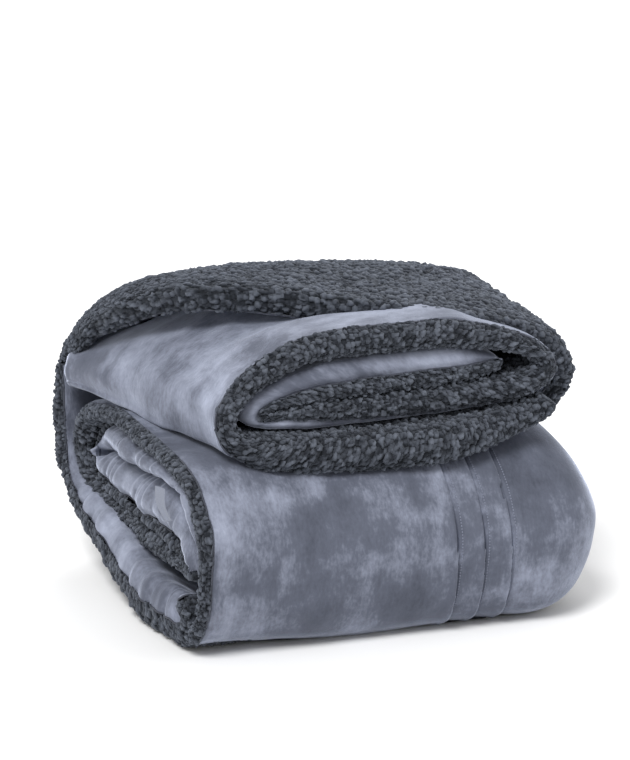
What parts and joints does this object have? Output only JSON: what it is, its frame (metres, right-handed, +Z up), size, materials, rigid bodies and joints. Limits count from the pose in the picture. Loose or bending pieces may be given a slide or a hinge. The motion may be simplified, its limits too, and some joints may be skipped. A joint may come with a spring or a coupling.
{
  "type": "folded throw blanket",
  "caption": "Wadded throw blanket folded into a bundle, smooth velvet on one side and curly sherpa on the other, its last leaf laid over a smaller roll on top.",
  "frame": {"origin": "on the floor under the middle of the folded bundle", "axes": "+X to the right along the lower roll, +Y to the back where the last leaf climbs, +Z up"},
  "size_m": [0.49, 0.466, 0.3512],
  "materials": {
    "velvet": "short brushed velvet nap",
    "sherpa": "curly sherpa pile",
    "wadding": "loose polyester wadding",
    "seam_tape": "turned and sewn seam",
    "thread": "polyester sewing thread",
    "label": "ribbed woven tape"
  },
  "bodies": {
    "lower_fold": {"wrap_velvet": "velvet", "wrap_wadding": "wadding", "wrap_sherpa": "sherpa", "wrap_seam": "seam_tape", "core_velvet": "velvet", "core_wadding": "wadding", "core_sherpa": "sherpa", "core_seam": "seam_tape", "base_velvet": "velvet", "base_wadding": "wadding", "base_sherpa": "sherpa", "base_seam": "seam_tape", "end_fold_velvet": "velvet", "end_fold_wadding": "wadding", "tuck_stitch_1": "thread", "tuck_stitch_2": "thread", "tuck_stitch_3": "thread", "care_label": "label"},
    "upper_fold": {"upper_velvet": "velvet", "upper_wadding": "wadding", "upper_sherpa": "sherpa", "upper_seam": "seam_tape", "riser_velvet": "velvet", "riser_wadding": "wadding", "riser_sherpa": "sherpa", "riser_seam": "seam_tape"},
    "top_flap": {"flap_velvet": "velvet", "flap_wadding": "wadding", "flap_sherpa": "sherpa", "flap_seam": "seam_tape"}
  },
  "joints": [
    {"name": "lift_upper_roll", "type": "hinge", "parent": "lower_fold", "child": "upper_fold", "pos_m": [0, 0.233, 0.20655], "axis": [-1, 0, 0], "range_deg": [0, 90]},
    {"name": "lift_flap", "type": "hinge", "parent": "upper_fold", "child": "top_flap", "pos_m": [0, 0.233, 0.2627], "axis": [-1, 0, 0], "range_deg": [0, 110]}
  ]
}
